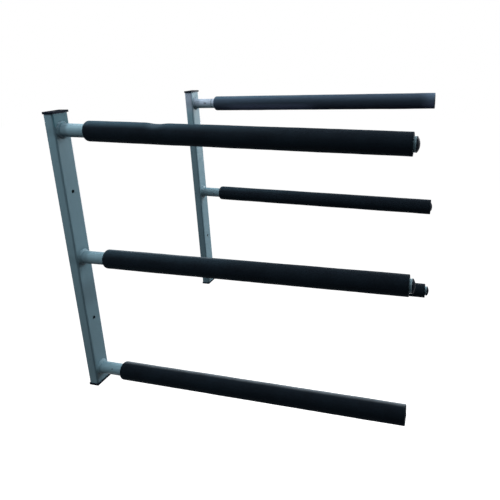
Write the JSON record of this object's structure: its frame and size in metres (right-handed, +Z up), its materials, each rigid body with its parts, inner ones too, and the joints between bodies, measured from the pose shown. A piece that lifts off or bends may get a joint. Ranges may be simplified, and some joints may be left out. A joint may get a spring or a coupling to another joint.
{
  "type": "board wall rack",
  "caption": "Wall rack of painted steel uprights with welded tube arms in foam sleeves; boards lie flat across the arms, one bay above another.",
  "frame": {"origin": "middle of the four wall-fixing holes, on the wall plane, level with the middle arms", "axes": "+Z up, +Y into the wall (the backs of the uprights lie on Y = 0), the arms reach towards -Y, +X from the left unit to the right one"},
  "size_m": [0.6836, 0.7962, 0.681],
  "materials": {
    "painted_steel": "satin grey-blue paint",
    "foam": "matt closed-cell foam",
    "cap_plastic": "satin black polyethylene"
  },
  "bodies": {
    "root": {"left_upright": "painted_steel", "left_top_cap": "cap_plastic", "left_bottom_cap": "cap_plastic", "left_top_arm": "painted_steel", "left_top_weld": "painted_steel", "left_top_sleeve": "foam", "left_top_plug": "cap_plastic", "left_middle_arm": "painted_steel", "left_middle_weld": "painted_steel", "left_middle_sleeve": "foam", "left_middle_plug": "cap_plastic", "left_bottom_arm": "painted_steel", "left_bottom_weld": "painted_steel", "left_bottom_sleeve": "foam", "left_bottom_plug": "cap_plastic", "right_upright": "painted_steel", "right_top_cap": "cap_plastic", "right_bottom_cap": "cap_plastic", "right_top_arm": "painted_steel", "right_top_weld": "painted_steel", "right_top_sleeve": "foam", "right_top_plug": "cap_plastic", "right_middle_arm": "painted_steel", "right_middle_weld": "painted_steel", "right_middle_sleeve": "foam", "right_middle_plug": "cap_plastic", "right_bottom_arm": "painted_steel", "right_bottom_weld": "painted_steel", "right_bottom_sleeve": "foam", "right_bottom_plug": "cap_plastic"}
  },
  "joints": []
}
